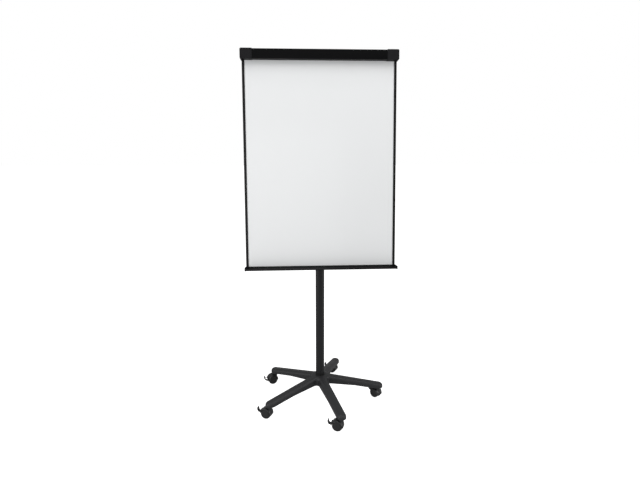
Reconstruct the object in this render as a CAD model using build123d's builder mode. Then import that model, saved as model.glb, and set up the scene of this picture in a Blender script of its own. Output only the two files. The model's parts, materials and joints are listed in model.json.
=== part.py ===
from build123d import *

import os
from math import cos, sin, radians

# Mobile flipchart easel: a lacquered steel board with a spring-closed pad clamp bar and a pen tray,
# tilting on a telescopic round column that stands on a five-arm star base with braked twin castors.
# Origin: on the floor, on the column's axis. +X is the reader's right, the board faces -Y, +Z is up.
# All sizes are in millimetres and degrees.

os.makedirs("parts", exist_ok=True)

# ---- Driving dimensions -----------------------------------------------------------------------
BOARD_W = 700.0        # width over the two side profiles
SIGHT_H = 933.0        # writing surface between the clamp bar and the tray
PANEL_T = 12.0         # thickness of the laminated panel
LEAN = 5.2             # the board leans back by this much as it stands
PIVOT_Z = 1200.0       # height of the tilt pivot
FACE_N = 55.0          # writing surface ahead of the tilt pivot
COLUMN_R = 21.5        # outer column, 43 mm tube
COLUMN_TOP = 1000.0
MAST_R = 17.5          # inner column, 35 mm tube
TUBE_WALL = 2.0
TIP_R = 302.0          # castor stems lie on this circle
ARM_ANGLE = 141.8      # first arm, counted counter-clockwise from +X
ARMS = 5
WHEEL_R = 25.0
TRAIL = 18.0           # wheel axle behind the castor's swivel axis
CASTOR_HEADINGS = [205.0, 157.0, 160.0, 125.0, 150.0]   # direction in which each castor trails

RUN = 0.05             # radial clearance of a shaft that turns or slides in a bore
GAP = 0.3              # clearance between other parts that move past each other

# ---- The board's own frame: x across, s up along the board, n out of its face -------------------
UP = Vector(0, sin(radians(LEAN)), cos(radians(LEAN)))
FRONT = Vector(0, -cos(radians(LEAN)), sin(radians(LEAN)))
ACROSS = Vector(1, 0, 0)
PIVOT = Vector(0, 0, PIVOT_Z)

TRAY_S = -470.0                    # lower edge of the writing surface
BAR_S = TRAY_S + SIGHT_H           # lower edge of the clamp bar
BAR_H = 43.0
PANEL_TOP = BAR_S + BAR_H - 5.0
PANEL_BOTTOM = TRAY_S - 8.0
PANEL_HALF = BOARD_W / 2 - 3.0
BACK_N = FACE_N - PANEL_T
SHEET_T = 0.8
BACKING_T = 0.6


def facing(n):
    """Plane parallel to the board's face: sketches in (x, s), extrudes towards the reader."""
    return Plane(origin=PIVOT + FRONT * n, x_dir=ACROSS, z_dir=FRONT)


def lengthwise(s):
    """Plane square to the board's height: sketches in (x, n), extrudes downwards."""
    return Plane(origin=PIVOT + UP * s, x_dir=ACROSS, z_dir=UP * -1)


def crosswise(x):
    """Plane square to the board's width: sketches in (n, s), extrudes towards -X."""
    return Plane(origin=PIVOT + ACROSS * x, x_dir=FRONT, z_dir=ACROSS * -1)


def box2d(u0, u1, v0, v1, mode=Mode.ADD):
    """Rectangle between two opposite corners in the sketch that is being built."""
    with Locations(((u0 + u1) / 2, (v0 + v1) / 2)):
        Rectangle(u1 - u0, v1 - v0, mode=mode)


# ---- Star base: five drafted arms with rounded tops, ribbed underneath --------------------------
ARM_W = 44.0
CROWN_R = 15.0         # rounding along the arms' upper edges
CROTCH_R = 14.0        # rounding where neighbouring arms meet, seen from above
HUB_FLAT_R = 30.0
ARM_TOP_HUB = 137.3
ARM_TOP_TIP = 86.4
HUB_UNDERSIDE = 93.5
MID_UNDERSIDE = 81.8
TIP_UNDERSIDE = 62.5
SHELL_T = 5.0
CROWN_T = 9.0          # thickness over the pockets, so that the rounded edges keep their wall
HUB_CORE_R = 31.0
TIP_BOSS_R = 12.0
HUB_BOSS_R = 26.0
HUB_BOSS_H = 7.0       # the boss under the hub stands down by this much
HUB_FLOOR = 102.0      # the column stands on this level inside the hub
HUB_BOLT_R = 6.0
STEM_R = 5.5
STEM_TOP = 80.0
ARM_RIBS = (75.0, 130.0, 185.0, 240.0)
RIB_T = 3.0

with BuildSketch() as star_outline:
    with PolarLocations(0, ARMS, start_angle=ARM_ANGLE):
        Rectangle(TIP_R, ARM_W, align=(Align.MIN, Align.CENTER))
    with PolarLocations(TIP_R, ARMS, start_angle=ARM_ANGLE):
        Circle(ARM_W / 2)
    crotches = star_outline.vertices().sort_by_distance((0, 0))[:ARMS]
    fillet(crotches, radius=CROTCH_R)

with BuildSketch() as pocket_outline:
    add(star_outline.sketch)
    offset(amount=-SHELL_T, mode=Mode.REPLACE)
    Circle(HUB_CORE_R, mode=Mode.SUBTRACT)
    with PolarLocations(TIP_R, ARMS, start_angle=ARM_ANGLE):
        Circle(TIP_BOSS_R, mode=Mode.SUBTRACT)
    for rib in ARM_RIBS:
        with PolarLocations(rib, ARMS, start_angle=ARM_ANGLE):
            Rectangle(RIB_T, 2 * ARM_W, mode=Mode.SUBTRACT)


def arm_profile(drop, floor_drop):
    """Side profile of the arms in (radius, z), its top lowered by drop and its underside by floor_drop."""
    reach = TIP_R + ARM_W
    slope = (ARM_TOP_TIP - ARM_TOP_HUB) / (TIP_R - HUB_FLAT_R)
    with BuildSketch(Plane.XZ) as profile:
        Polygon(
            (0, HUB_UNDERSIDE - floor_drop), (0.2 * TIP_R, HUB_UNDERSIDE - floor_drop),
            (0.6 * TIP_R, MID_UNDERSIDE - floor_drop), (TIP_R - TIP_BOSS_R, TIP_UNDERSIDE - floor_drop),
            (reach, TIP_UNDERSIDE - floor_drop), (reach, ARM_TOP_TIP + slope * ARM_W - drop),
            (HUB_FLAT_R, ARM_TOP_HUB - drop), (0, ARM_TOP_HUB - drop),
            align=None,
        )
    return profile.sketch


with BuildPart() as arm_pockets:
    with BuildSketch(Plane.XY.offset(40)):
        add(pocket_outline.sketch)
    extrude(amount=120)
    add(arm_profile(CROWN_T, 20))
    revolve(axis=Axis.Z, mode=Mode.INTERSECT)

with BuildPart() as star_base:
    with BuildSketch(Plane.XY.offset(50)):
        add(star_outline.sketch)
    extrude(amount=120)
    add(arm_profile(0, 0))
    revolve(axis=Axis.Z, mode=Mode.INTERSECT)
    arm_crowns = star_base.faces().filter_by(GeomType.CONE).sort_by(Axis.Z)[-1:]
    fillet(arm_crowns.edges().filter_by(lambda e: (e @ 0.5).Z < ARM_TOP_HUB - 0.5), radius=CROWN_R)
    add(arm_pockets.part, mode=Mode.SUBTRACT)
    with BuildSketch(Plane.XY.offset(HUB_UNDERSIDE - HUB_BOSS_H)):
        Circle(HUB_BOSS_R)
    extrude(amount=HUB_BOSS_H + 3)
    with BuildSketch(Plane.XY.offset(HUB_FLOOR)):
        Circle(COLUMN_R)
    extrude(amount=60, mode=Mode.SUBTRACT)
    with BuildSketch(Plane.XY.offset(60)):
        Circle(HUB_BOLT_R)
    extrude(amount=60, mode=Mode.SUBTRACT)
    with BuildSketch(Plane.XY.offset(50)):
        with PolarLocations(TIP_R, ARMS, start_angle=ARM_ANGLE):
            Circle(STEM_R)
    extrude(amount=STEM_TOP - 50, mode=Mode.SUBTRACT)
star_base.part.label = "star_base"
export_step(star_base.part, "parts/star_base.step")

# The bolt that draws the column down into the hub, with its flange washer.
WASHER_T = 2.0
BOLT_HEAD_T = 8.0
with BuildPart() as hub_bolt:
    with BuildSketch(Plane.XY.offset(HUB_UNDERSIDE - HUB_BOSS_H - WASHER_T)):
        Circle(15)
    extrude(amount=WASHER_T)
    with BuildSketch(Plane.XY.offset(HUB_UNDERSIDE - HUB_BOSS_H - WASHER_T - BOLT_HEAD_T)):
        RegularPolygon(11, 6)
    extrude(amount=BOLT_HEAD_T)
    with BuildSketch(Plane.XY.offset(HUB_UNDERSIDE - HUB_BOSS_H - WASHER_T / 2)):
        Circle(HUB_BOLT_R)
    extrude(amount=42)
    chamfer(hub_bolt.faces().sort_by(Axis.Z)[-1].edges(), length=1)
hub_bolt.part.label = "hub_bolt"
export_step(hub_bolt.part, "parts/hub_bolt.step")

# ---- Outer column: round tube with a welded foot plate ------------------------------------------
STUD_Z = 985.0
STUD_R = 4.0
FOOT_PLATE = 8.0
TO_REAR = Plane(origin=(0, 0, STUD_Z), x_dir=(1, 0, 0), z_dir=(0, 1, 0))

with BuildPart() as outer_column:
    with BuildSketch(Plane.XY.offset(HUB_FLOOR)):
        Circle(COLUMN_R)
        Circle(COLUMN_R - TUBE_WALL, mode=Mode.SUBTRACT)
    extrude(amount=COLUMN_TOP - HUB_FLOOR)
    with BuildSketch(Plane.XY.offset(HUB_FLOOR)):
        Circle(COLUMN_R - TUBE_WALL)
        Circle(HUB_BOLT_R, mode=Mode.SUBTRACT)
    extrude(amount=FOOT_PLATE)
    with BuildSketch(TO_REAR):
        Circle(STUD_R + 0.5)
    extrude(amount=30, mode=Mode.SUBTRACT)
outer_column.part.label = "outer_column"
export_step(outer_column.part, "parts/outer_column.step")

# Plastic ring that covers the joint between column and hub.
with BuildPart() as column_collar:
    with BuildSketch(Plane.XY.offset(ARM_TOP_HUB)):
        Circle(COLUMN_R + 1.2)
        Circle(COLUMN_R, mode=Mode.SUBTRACT)
    extrude(amount=14)
    chamfer(column_collar.edges().group_by(Axis.Z)[-1].sort_by(SortBy.LENGTH)[-1], length=0.8)
column_collar.part.label = "column_collar"
export_step(column_collar.part, "parts/column_collar.step")

# Guide bush in the mouth of the outer column, and the clamp collar around it.
BUSH_BOTTOM = 955.0
BUSH_FLANGE = 4.0
CLAMP_BOTTOM = 958.0
CLAMP_TOP = 1012.0
CLAMP_R = 27.0
KNOB_BOSS_END = 38.0

with BuildPart() as column_bush:
    with BuildSketch(Plane.XY.offset(BUSH_BOTTOM)):
        Circle(COLUMN_R - TUBE_WALL)
    extrude(amount=COLUMN_TOP - BUSH_BOTTOM)
    with BuildSketch(Plane.XY.offset(COLUMN_TOP)):
        Circle(COLUMN_R)
    extrude(amount=BUSH_FLANGE)
    with BuildSketch(Plane.XY.offset(BUSH_BOTTOM)):
        Circle(MAST_R + RUN)
    extrude(amount=60, mode=Mode.SUBTRACT)
    with BuildSketch(TO_REAR):
        Circle(STUD_R + 0.5)
    extrude(amount=30, mode=Mode.SUBTRACT)
column_bush.part.label = "column_bush"
export_step(column_bush.part, "parts/column_bush.step")

with BuildPart() as clamp_collar:
    with BuildSketch(Plane.XY.offset(CLAMP_BOTTOM)):
        Circle(CLAMP_R)
    extrude(amount=CLAMP_TOP - CLAMP_BOTTOM)
    fillet(clamp_collar.edges().filter_by(GeomType.CIRCLE), radius=3)
    with BuildSketch(TO_REAR):
        Circle(12)
    extrude(amount=KNOB_BOSS_END)
    with BuildSketch(Plane.XY.offset(CLAMP_BOTTOM - 1)):
        Circle(COLUMN_R)
    extrude(amount=COLUMN_TOP + BUSH_FLANGE - CLAMP_BOTTOM + 1, mode=Mode.SUBTRACT)
    with BuildSketch(Plane.XY.offset(CLAMP_TOP - 20)):
        Circle(MAST_R + 0.6)
    extrude(amount=40, mode=Mode.SUBTRACT)
    with BuildSketch(TO_REAR):
        Circle(STUD_R + RUN)
    extrude(amount=60, mode=Mode.SUBTRACT)
clamp_collar.part.label = "clamp_collar"
export_step(clamp_collar.part, "parts/clamp_collar.step")


def star_knob(plane, bore_r, radius, depth):
    """Lobed hand knob standing on a plane, with a blind bore for its stud and a raised hub."""
    with BuildPart() as knob:
        with BuildSketch(plane):
            Circle(radius * 0.78)
            with PolarLocations(radius * 0.74, 6):
                Circle(radius * 0.26)
        extrude(amount=depth)
        rims = knob.faces().filter_by(GeomType.PLANE).edges()
        fillet(rims, radius=1.6)
        with BuildSketch(plane.offset(depth)):
            Circle(radius * 0.5)
        extrude(amount=2)
        with BuildSketch(plane):
            Circle(bore_r)
        extrude(amount=depth * 0.8, mode=Mode.SUBTRACT)
    return knob.part


# Height knob behind the collar: its stud presses on the inner column.
HEIGHT_KNOB_Y = KNOB_BOSS_END + 0.5
HEIGHT_KNOB_DEPTH = 16.0
height_knob = star_knob(TO_REAR.offset(HEIGHT_KNOB_Y), STUD_R, 20.0, HEIGHT_KNOB_DEPTH)
height_knob.label = "height_knob"
export_step(height_knob, "parts/height_knob.step")

with BuildPart() as height_stud:
    with BuildSketch(TO_REAR.offset(MAST_R + 0.2)):
        Circle(STUD_R)
    extrude(amount=HEIGHT_KNOB_Y + HEIGHT_KNOB_DEPTH * 0.8 - MAST_R - 0.2)
height_stud.part.label = "height_stud"
export_step(height_stud.part, "parts/height_stud.step")

# ---- Inner column, its foot guide and the tilt head ---------------------------------------------
MAST_BOTTOM = 620.0
MAST_TOP = 1174.0
HEAD_BOTTOM = 1140.0
HEAD_R = 20.0
TILT_BOLT_R = 5.0

with BuildPart() as inner_column:
    with BuildSketch(Plane.XY.offset(MAST_BOTTOM)):
        Circle(MAST_R)
        Circle(MAST_R - TUBE_WALL, mode=Mode.SUBTRACT)
    extrude(amount=MAST_TOP - MAST_BOTTOM)
inner_column.part.label = "inner_column"
export_step(inner_column.part, "parts/inner_column.step")

with BuildPart() as foot_guide:
    with BuildSketch(Plane.XY.offset(MAST_BOTTOM - 25)):
        Circle(COLUMN_R - TUBE_WALL - 0.08)
    extrude(amount=25)
    with BuildSketch(Plane.XY.offset(MAST_BOTTOM)):
        Circle(MAST_R - TUBE_WALL)
    extrude(amount=20)
    with BuildSketch(Plane.XY.offset(MAST_BOTTOM - 25)):
        Circle(10)
    extrude(amount=45, mode=Mode.SUBTRACT)
foot_guide.part.label = "foot_guide"
export_step(foot_guide.part, "parts/foot_guide.step")

TO_RIGHT = Plane(origin=(0, 0, PIVOT_Z), x_dir=(0, 1, 0), z_dir=(1, 0, 0))

with BuildPart() as tilt_head:
    with BuildSketch(Plane.XY.offset(HEAD_BOTTOM)):
        Circle(MAST_R + 4.5)
    extrude(amount=MAST_TOP + 4 - HEAD_BOTTOM)
    fillet(tilt_head.edges().group_by(Axis.Z)[0], radius=1.5)
    with BuildSketch(TO_RIGHT):
        Circle(HEAD_R)
        box2d(-HEAD_R, HEAD_R, HEAD_BOTTOM + 34 - PIVOT_Z, 0)
    extrude(amount=HEAD_R, both=True)
    with BuildSketch(Plane.XY.offset(HEAD_BOTTOM - 1)):
        Circle(MAST_R)
    extrude(amount=MAST_TOP - HEAD_BOTTOM + 1, mode=Mode.SUBTRACT)
    with BuildSketch(TO_RIGHT):
        Circle(TILT_BOLT_R + RUN)
    extrude(amount=40, both=True, mode=Mode.SUBTRACT)
tilt_head.part.label = "tilt_head"
export_step(tilt_head.part, "parts/tilt_head.step")

# ---- Tilt bracket on the board's back, with its screws, bolt, nut and knob ----------------------
EAR_X = HEAD_R + 0.5
EAR_T = 3.0
EAR_R = 17.0
PLATE_T = 3.0
BRACKET_N = BACK_N - 0.1
SCREW_X = 50.0
SCREW_S = 32.0
SCREW_R = 2.5

with BuildPart() as tilt_bracket:
    with BuildSketch(facing(BRACKET_N - PLATE_T)):
        RectangleRounded(130, 90, 10)
        with GridLocations(2 * SCREW_X, 2 * SCREW_S, 2, 2):
            Circle(SCREW_R + 0.1, mode=Mode.SUBTRACT)
    extrude(amount=PLATE_T)
    for ear in (EAR_X + EAR_T, -EAR_X):
        with BuildSketch(crosswise(ear)):
            with BuildLine():
                Polyline((BRACKET_N - 1, -40), (BRACKET_N - 1, 40), (0, EAR_R))
                ThreePointArc((0, EAR_R), (-EAR_R, 0), (0, -EAR_R))
                Line((0, -EAR_R), (BRACKET_N - 1, -40))
            make_face()
        extrude(amount=EAR_T)
    with BuildSketch(TO_RIGHT):
        Circle(TILT_BOLT_R + RUN)
    extrude(amount=40, both=True, mode=Mode.SUBTRACT)
tilt_bracket.part.label = "tilt_bracket"
export_step(tilt_bracket.part, "parts/tilt_bracket.step")

SCREW_DEPTH = 8.0
with BuildPart() as bracket_screws:
    with BuildSketch(facing(BRACKET_N - PLATE_T - 2.4)):
        with GridLocations(2 * SCREW_X, 2 * SCREW_S, 2, 2):
            Circle(5)
    extrude(amount=2.4)
    with BuildSketch(facing(BRACKET_N - PLATE_T)):
        with GridLocations(2 * SCREW_X, 2 * SCREW_S, 2, 2):
            Circle(SCREW_R)
    extrude(amount=PLATE_T + SCREW_DEPTH)
bracket_screws.part.label = "bracket_screws"
export_step(bracket_screws.part, "parts/bracket_screws.step")

NUT_T = 8.0
NUT_X = -(EAR_X + EAR_T)
with BuildPart() as tilt_nut:
    with BuildSketch(crosswise(NUT_X)):
        RegularPolygon(9.5, 6)
        Circle(TILT_BOLT_R + RUN, mode=Mode.SUBTRACT)
    extrude(amount=NUT_T)
tilt_nut.part.label = "tilt_nut"
export_step(tilt_nut.part, "parts/tilt_nut.step")

TILT_KNOB_X = EAR_X + EAR_T + 0.5
TILT_KNOB_DEPTH = 18.0
tilt_knob = star_knob(TO_RIGHT.offset(TILT_KNOB_X), TILT_BOLT_R, 22.0, TILT_KNOB_DEPTH)
tilt_knob.label = "tilt_knob"
export_step(tilt_knob, "parts/tilt_knob.step")

with BuildPart() as tilt_bolt:
    with BuildSketch(TO_RIGHT.offset(NUT_X - NUT_T - 3)):
        Circle(TILT_BOLT_R)
    extrude(amount=TILT_KNOB_X + TILT_KNOB_DEPTH * 0.8 - (NUT_X - NUT_T - 3))
tilt_bolt.part.label = "tilt_bolt"
export_step(tilt_bolt.part, "parts/tilt_bolt.step")

# ---- Laminated panel: steel writing sheet, light core, backing sheet ----------------------------
PANEL_MID = (PANEL_TOP + PANEL_BOTTOM) / 2
PANEL_H = PANEL_TOP - PANEL_BOTTOM

with BuildPart() as writing_sheet:
    with BuildSketch(facing(FACE_N - SHEET_T)):
        with Locations((0, PANEL_MID)):
            Rectangle(2 * PANEL_HALF, PANEL_H)
    extrude(amount=SHEET_T)
writing_sheet.part.label = "writing_sheet"
export_step(writing_sheet.part, "parts/writing_sheet.step")

with BuildPart() as board_core:
    with BuildSketch(facing(BACK_N + BACKING_T)):
        with Locations((0, PANEL_MID)):
            Rectangle(2 * PANEL_HALF, PANEL_H)
    extrude(amount=PANEL_T - SHEET_T - BACKING_T)
    with BuildSketch(facing(BACK_N)):
        with GridLocations(2 * SCREW_X, 2 * SCREW_S, 2, 2):
            Circle(SCREW_R)
    extrude(amount=SCREW_DEPTH - 0.1, mode=Mode.SUBTRACT)
board_core.part.label = "board_core"
export_step(board_core.part, "parts/board_core.step")

with BuildPart() as backing_sheet:
    with BuildSketch(facing(BACK_N)):
        with Locations((0, PANEL_MID)):
            Rectangle(2 * PANEL_HALF, PANEL_H)
        with GridLocations(2 * SCREW_X, 2 * SCREW_S, 2, 2):
            Circle(SCREW_R + 0.1, mode=Mode.SUBTRACT)
    extrude(amount=BACKING_T)
backing_sheet.part.label = "backing_sheet"
export_step(backing_sheet.part, "parts/backing_sheet.step")

# ---- Frame of the board: channels that grip the panel's four edges ------------------------------
LIP = 12.0             # width of the side profiles as seen from the front
LIP_T = 1.4
GRIP = 0.1             # slack between panel and channel
RAIL_TOP_S = TRAY_S
RAIL_BOTTOM_S = PANEL_BOTTOM - 2.0
TOP_RAIL_S = PANEL_TOP - 12.0
CAP_S = BAR_S - 0.6
CAP_INNER = 302.0

for side, name in ((-1, "left_side_profile"), (1, "right_side_profile")):
    with BuildPart() as side_profile:
        with BuildSketch(lengthwise(CAP_S - 0.1)):
            edge = side * BOARD_W / 2
            lip_edge = side * (BOARD_W / 2 - LIP)
            box2d(min(edge, lip_edge), max(edge, lip_edge), BACK_N - GRIP - LIP_T, FACE_N + GRIP + LIP_T)
            slot = side * (PANEL_HALF + GRIP)
            box2d(
                min(slot, lip_edge - side), max(slot, lip_edge - side), BACK_N - GRIP, FACE_N + GRIP,
                mode=Mode.SUBTRACT,
            )
        extrude(amount=CAP_S - 0.1 - RAIL_TOP_S - 0.1)
        fillet(
            side_profile.edges().filter_by(Axis(PIVOT, UP)).sort_by(Axis.X)[::side][-2:], radius=1.2
        )
    side_profile.part.label = name
    export_step(side_profile.part, f"parts/{name}.step")

with BuildPart() as bottom_rail:
    with BuildSketch(crosswise(BOARD_W / 2)):
        box2d(BACK_N - GRIP - LIP_T, FACE_N + GRIP + LIP_T, RAIL_BOTTOM_S, RAIL_TOP_S)
        box2d(BACK_N - GRIP, FACE_N + GRIP, PANEL_BOTTOM - GRIP, RAIL_TOP_S + 1, mode=Mode.SUBTRACT)
    extrude(amount=BOARD_W)
bottom_rail.part.label = "bottom_rail"
export_step(bottom_rail.part, "parts/bottom_rail.step")

# The top rail also carries the slotted track in which the two pad hooks slide.
TRACK_S = BAR_S + 17.0              # middle of the slot
TRACK_HALF = 7.0
TRACK_N = FACE_N + GRIP
TRACK_DEPTH = 6.9
TRACK_WALL = 1.5
SLOT_HALF = 3.0

with BuildPart() as top_rail:
    with BuildSketch(crosswise(CAP_INNER - 0.5)):
        box2d(BACK_N - GRIP - LIP_T, FACE_N + GRIP + LIP_T, TOP_RAIL_S, PANEL_TOP + 2)
        box2d(BACK_N - GRIP, FACE_N + GRIP, TOP_RAIL_S - 1, PANEL_TOP + GRIP, mode=Mode.SUBTRACT)
        box2d(TRACK_N, TRACK_N + LIP_T, TRACK_S + TRACK_HALF - TRACK_WALL, TOP_RAIL_S)
        box2d(TRACK_N, TRACK_N + TRACK_DEPTH, TRACK_S - TRACK_HALF, TRACK_S + TRACK_HALF)
        box2d(
            TRACK_N + TRACK_WALL, TRACK_N + TRACK_DEPTH - TRACK_WALL,
            TRACK_S - TRACK_HALF + TRACK_WALL, TRACK_S + TRACK_HALF - TRACK_WALL, mode=Mode.SUBTRACT,
        )
        box2d(
            TRACK_N + TRACK_WALL, TRACK_N + TRACK_DEPTH + 1, TRACK_S - SLOT_HALF, TRACK_S + SLOT_HALF,
            mode=Mode.SUBTRACT,
        )
    extrude(amount=2 * CAP_INNER - 1)
top_rail.part.label = "top_rail"
export_step(top_rail.part, "parts/top_rail.step")

# ---- Pad hooks: a foot that slides in the track, a thumb flange and a round pin -----------------
HOOK_X = 255.0
HOOK_PIN_R = 4.0
HOOK_PIN_END = FACE_N + 24.0

for side, name in ((-1, "left_pad_hook"), (1, "right_pad_hook")):
    with BuildPart() as pad_hook:
        with BuildSketch(facing(TRACK_N + TRACK_WALL + GAP)):
            with Locations((side * HOOK_X, TRACK_S)):
                Rectangle(16, 2 * (TRACK_HALF - TRACK_WALL - GAP))
        extrude(amount=TRACK_DEPTH - 2 * TRACK_WALL - 2 * GAP)
        with BuildSketch(facing(TRACK_N + TRACK_WALL + 1)):
            with Locations((side * HOOK_X, TRACK_S)):
                Circle(SLOT_HALF - GAP)
        extrude(amount=TRACK_DEPTH)
        with BuildSketch(facing(TRACK_N + TRACK_DEPTH + GAP)):
            with Locations((side * HOOK_X, TRACK_S)):
                Circle(7)
        extrude(amount=2.2)
        with BuildSketch(facing(TRACK_N + TRACK_DEPTH + GAP)):
            with Locations((side * HOOK_X, TRACK_S)):
                Circle(HOOK_PIN_R)
        extrude(amount=HOOK_PIN_END - TRACK_N - TRACK_DEPTH - GAP)
        chamfer(pad_hook.faces().sort_by(Axis(PIVOT, FRONT))[-1].edges(), length=1)
    pad_hook.part.label = name
    export_step(pad_hook.part, f"parts/{name}.step")

# ---- Clamp bar: open channel hinged on two pins along its upper rear edge -----------------------
HINGE_R = 8.0
HINGE_N = FACE_N + 10.0
HINGE_S = BAR_S + BAR_H - HINGE_R
HINGE_PIN_R = 3.0
BAR_FRONT_N = FACE_N + 30.0
BAR_WALL = 2.0
BAR_REAR_N = FACE_N + 2.3
BAR_TOP_S = BAR_S + BAR_H

with BuildPart() as clamp_bar:
    with BuildSketch(crosswise(CAP_INNER - 0.5)) as bar_section:
        box2d(BAR_FRONT_N - BAR_WALL, BAR_FRONT_N, BAR_S, BAR_TOP_S)
        box2d(HINGE_N, BAR_FRONT_N, BAR_TOP_S - BAR_WALL, BAR_TOP_S)
        box2d(BAR_REAR_N, BAR_FRONT_N, BAR_S, BAR_S + BAR_WALL)
        box2d(BAR_REAR_N, BAR_REAR_N + BAR_WALL, BAR_S, BAR_S + 8)
        with Locations((HINGE_N, HINGE_S)):
            Circle(HINGE_R)
            Circle(HINGE_PIN_R + RUN, mode=Mode.SUBTRACT)
    extrude(amount=2 * CAP_INNER - 1)
    long_edges = clamp_bar.edges().filter_by(Axis.X)
    front_corners = long_edges.sort_by(Axis(PIVOT, FRONT))[-2:]
    fillet(front_corners, radius=1.9)
clamp_bar.part.label = "clamp_bar"
export_step(clamp_bar.part, "parts/clamp_bar.step")

with BuildPart() as grip_strip:
    with BuildSketch(crosswise(CAP_INNER - 4)):
        box2d(FACE_N + 0.4, BAR_REAR_N, BAR_S + 0.5, BAR_S + 7.5)
    extrude(amount=2 * CAP_INNER - 8)
grip_strip.part.label = "grip_strip"
export_step(grip_strip.part, "parts/grip_strip.step")

# ---- End caps of the clamp bar: they close the panel's top corners and carry the hinge pins -----
CAP_OUTER = BOARD_W / 2 + 6.0
CAP_TOP_S = BAR_TOP_S + 1.2
CAP_FRONT_N = BAR_FRONT_N + 1.2
CAP_REAR_N = BACK_N - 3.0
SPRING_POCKET_R = 6.5
SPRING_POCKET = 11.0
PIN_IN_CAP = 24.0
PIN_IN_BAR = 16.0

for side, name in ((-1, "left_end_cap"), (1, "right_end_cap")):
    high = max(side * CAP_INNER, side * CAP_OUTER)
    with BuildPart() as end_cap:
        with BuildSketch(crosswise(high)):
            box2d(CAP_REAR_N, CAP_FRONT_N, CAP_S, CAP_TOP_S)
        extrude(amount=CAP_OUTER - CAP_INNER)
        outer_face = end_cap.faces().sort_by(Axis.X)[::side][-1]
        fillet(outer_face.edges(), radius=6)
        with BuildSketch(facing(BACK_N - GRIP)):
            box2d(
                min(0, side * (PANEL_HALF + GRIP)), max(0, side * (PANEL_HALF + GRIP)),
                0, PANEL_TOP + GRIP,
            )
        extrude(amount=PANEL_T + 2 * GRIP, mode=Mode.SUBTRACT)
        with BuildSketch(crosswise(side * CAP_INNER)):
            with Locations((HINGE_N, HINGE_S)):
                Circle(SPRING_POCKET_R)
        extrude(amount=-side * SPRING_POCKET, mode=Mode.SUBTRACT)
        with BuildSketch(crosswise(side * CAP_INNER)):
            with Locations((HINGE_N, HINGE_S)):
                Circle(HINGE_PIN_R)
        extrude(amount=-side * PIN_IN_CAP, mode=Mode.SUBTRACT)
    end_cap.part.label = name
    export_step(end_cap.part, f"parts/{name}.step")

with BuildPart() as bar_hinge_pins:
    for side in (-1, 1):
        with BuildSketch(crosswise(side * (CAP_INNER - PIN_IN_BAR))):
            with Locations((HINGE_N, HINGE_S)):
                Circle(HINGE_PIN_R)
        extrude(amount=-side * (PIN_IN_BAR + PIN_IN_CAP))
bar_hinge_pins.part.label = "bar_hinge_pins"
export_step(bar_hinge_pins.part, "parts/bar_hinge_pins.step")

COIL_R = 4.7
WIRE_R = 0.6
with BuildPart() as bar_springs:
    for side in (-1, 1):
        start = PIVOT + ACROSS * (side * (CAP_INNER + 2.0)) + FRONT * HINGE_N + UP * HINGE_S
        with BuildLine(mode=Mode.PRIVATE) as coil:
            Helix(pitch=2.2, height=7.0, radius=COIL_R, center=start, direction=(side, 0, 0))
        with BuildSketch(Plane(origin=coil.line @ 0, z_dir=coil.line % 0)):
            Circle(WIRE_R)
        sweep(path=coil.line, is_frenet=True)
bar_springs.part.label = "bar_springs"
export_step(bar_springs.part, "parts/bar_springs.step")

# ---- Pen tray: thin shelf with a low front lip, and its two end caps ----------------------------
TRAY_BACK_N = FACE_N + GRIP + LIP_T
TRAY_FRONT_N = FACE_N + 55.0
TRAY_FLOOR_S = TRAY_S - 10.4
TRAY_T = 1.8
TRAY_LIP_S = TRAY_S - 2.5
TRAY_HALF = 347.0
TRAY_CAP_T = 6.0

with BuildPart() as pen_tray:
    with BuildSketch(crosswise(TRAY_HALF)):
        box2d(TRAY_BACK_N, TRAY_FRONT_N, TRAY_FLOOR_S - TRAY_T, TRAY_FLOOR_S)
        box2d(TRAY_BACK_N, TRAY_BACK_N + TRAY_T, TRAY_FLOOR_S - TRAY_T, TRAY_S - 0.5)
        box2d(TRAY_FRONT_N - TRAY_T, TRAY_FRONT_N, TRAY_FLOOR_S - TRAY_T, TRAY_LIP_S)
    extrude(amount=2 * TRAY_HALF)
    tray_front = pen_tray.edges().filter_by(Axis.X).sort_by(Axis(PIVOT, FRONT))[-2:]
    fillet(tray_front, radius=0.8)
pen_tray.part.label = "pen_tray"
export_step(pen_tray.part, "parts/pen_tray.step")

for side, name in ((-1, "left_tray_cap"), (1, "right_tray_cap")):
    with BuildPart() as tray_cap:
        with BuildSketch(crosswise(max(side * TRAY_HALF, side * (TRAY_HALF + TRAY_CAP_T)))):
            box2d(TRAY_BACK_N, TRAY_FRONT_N + 1, TRAY_FLOOR_S - TRAY_T - 1, TRAY_S + 0.5)
        extrude(amount=TRAY_CAP_T)
        outer_face = tray_cap.faces().sort_by(Axis.X)[::side][-1]
        front_edge = outer_face.edges().sort_by(Axis(PIVOT, FRONT))[-1]
        fillet(front_edge, radius=4.5)
    tray_cap.part.label = name
    export_step(tray_cap.part, f"parts/{name}.step")

# ---- Castors: stems held in the arms, hoods, wheel pairs on an axle, brake pedals ---------------
HOOD_TOP = 60.0
STEM_FLANGE_R = 9.0
STEM_LOWER_R = 4.0
STEM_BOTTOM = 43.0
NECK_R = 10.0
WEB = 10.0             # middle web between the two wheels
HOOD_INNER_R = 26.5
HOOD_OUTER_R = 29.0
HOOD_W = 42.0
HOOD_FROM = 24.0       # the hood reaches from here over the top to the leading side
HOOD_SWEEP = 168.0
AXLE_R = 3.0
AXLE_HALF = 17.0
WHEEL_IN = 6.5
WHEEL_OUT = 20.5
PEDAL_PIVOT_R = 30.0
PEDAL_PIVOT_ANGLE = 20.0
PEDAL_HALF = 9.0
LUG_T = 3.0
LUG_R = 3.6
BARREL_R = 2.9
TRUNNION_R = 1.5

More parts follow.
